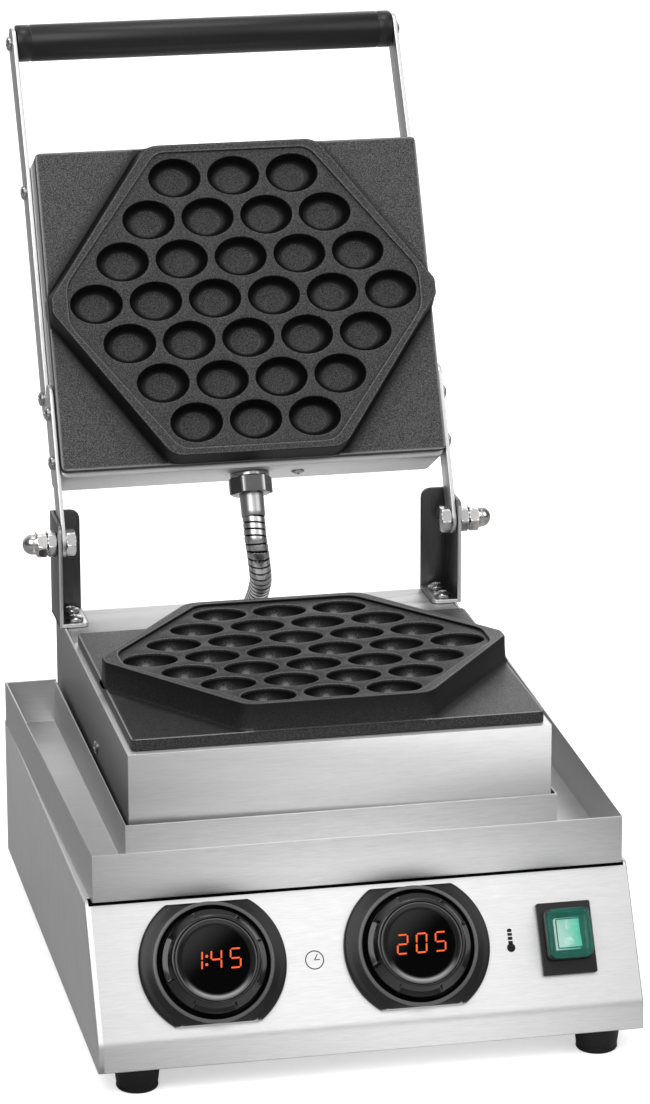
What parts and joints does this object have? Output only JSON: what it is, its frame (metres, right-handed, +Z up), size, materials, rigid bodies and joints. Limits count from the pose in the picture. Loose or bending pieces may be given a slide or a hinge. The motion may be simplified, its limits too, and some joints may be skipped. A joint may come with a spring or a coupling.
{
  "type": "bubble waffle maker",
  "caption": "Table-top bubble waffle maker: hinged cast plates of bubble hollows in steel housings, drip tray, timer and temperature dials with displays, covered rocker switch.",
  "frame": {"origin": "bottom centre of the bounding box, with the lid open as shown", "axes": "+X to the right as seen from the front, +Y to the back, +Z up; the control panel faces -Y"},
  "size_m": [0.278, 0.46, 0.4495],
  "materials": {
    "brushed_steel": "brushed stainless sheet",
    "polished_steel": "bright stainless",
    "chrome": "nickel-plated brass and steel",
    "cast_plate": "dark speckled non-stick coating",
    "heater_steel": "oxidised tube",
    "satin_black": "satin",
    "gloss_black": "gloss",
    "module_black": "matt",
    "display_window": "dark gloss window with orange-red figures",
    "lamp_green": "lit from inside",
    "cover_green": "clear soft cover",
    "board_green": "matt",
    "ceramic": "matt",
    "foot_rubber": "moulded"
  },
  "bodies": {
    "base": {"base_housing": "brushed_steel", "base_bottom_plate": "brushed_steel", "heater_housing": "brushed_steel", "rear_deck": "brushed_steel", "hinge_bracket_left": "polished_steel", "hinge_bracket_right": "polished_steel", "lower_baking_plate": "cast_plate", "lower_heating_element": "heater_steel", "lower_temperature_sensor": "heater_steel", "timer_bezel": "satin_black", "timer_module": "module_black", "temperature_bezel": "satin_black", "temperature_module": "module_black", "switch_frame": "satin_black", "switch_cover": "cover_green", "power_board": "board_green", "terminal_block": "ceramic", "cord_gland": "satin_black", "base_conduit_gland": "chrome", "flexible_conduit": "chrome", "foot_front_left": "foot_rubber", "foot_rear_left": "foot_rubber", "pivot_bolt_left": "polished_steel", "pivot_nut_left": "polished_steel", "pivot_cap_nut_left": "polished_steel", "bracket_screw_front_left": "polished_steel", "bracket_screw_rear_left": "polished_steel", "foot_front_right": "foot_rubber", "foot_rear_right": "foot_rubber", "pivot_bolt_right": "polished_steel", "pivot_nut_right": "polished_steel", "pivot_cap_nut_right": "polished_steel", "bracket_screw_front_right": "polished_steel", "bracket_screw_rear_right": "polished_steel"},
    "lid": {"lid_housing": "brushed_steel", "upper_baking_plate": "cast_plate", "upper_heating_element": "heater_steel", "upper_temperature_sensor": "heater_steel", "lid_conduit_gland": "chrome", "handle_grip": "satin_black", "handle_arm_left": "brushed_steel", "hinge_arm_left": "brushed_steel", "handle_end_screw_left": "polished_steel", "handle_arm_screw_front_left": "polished_steel", "handle_arm_screw_rear_left": "polished_steel", "hinge_arm_screw_front_left": "polished_steel", "hinge_arm_screw_rear_left": "polished_steel", "handle_arm_right": "brushed_steel", "hinge_arm_right": "brushed_steel", "handle_end_screw_right": "polished_steel", "handle_arm_screw_front_right": "polished_steel", "handle_arm_screw_rear_right": "polished_steel", "hinge_arm_screw_front_right": "polished_steel", "hinge_arm_screw_rear_right": "polished_steel"},
    "drip_tray": {"drip_tray": "brushed_steel"},
    "timer_dial": {"timer_dial": "gloss_black"},
    "timer_display": {"timer_display": "display_window"},
    "temperature_dial": {"temperature_dial": "gloss_black"},
    "temperature_display": {"temperature_display": "display_window"},
    "rocker": {"switch_rocker": "lamp_green"}
  },
  "joints": [
    {"name": "lid_hinge", "type": "hinge", "parent": "base", "child": "lid", "pos_m": [0, 0.06809, 0.1954], "axis": [1, 0, 0], "range_deg": [0, 116.8], "deforming": ["flexible_conduit"]},
    {"name": "drip_tray_slide", "type": "slide", "parent": "base", "child": "drip_tray", "axis": [0, -1, 0], "range_m": [0, 0.235]},
    {"name": "timer_dial_turn", "type": "hinge", "parent": "base", "child": "timer_dial", "pos_m": [-0.0775, -0.20714, 0.05865], "axis": [0, -0.8597, 0.5109], "continuous": true},
    {"name": "timer_display_press", "type": "slide", "parent": "base", "child": "timer_display", "axis": [0, 0.8597, -0.5109], "range_m": [0, 0.001], "stiffness_N_per_m": 600, "springref_m": -0.003},
    {"name": "temperature_dial_turn", "type": "hinge", "parent": "base", "child": "temperature_dial", "pos_m": [0.0255, -0.20714, 0.05865], "axis": [0, -0.8597, 0.5109], "continuous": true},
    {"name": "temperature_display_press", "type": "slide", "parent": "base", "child": "temperature_display", "axis": [0, 0.8597, -0.5109], "range_m": [0, 0.001], "stiffness_N_per_m": 600, "springref_m": -0.003},
    {"name": "power_rocker", "type": "hinge", "parent": "base", "child": "rocker", "pos_m": [0.1017, -0.2093, 0.05796], "axis": [1, 0, 0], "range_deg": [0, 14]}
  ]
}
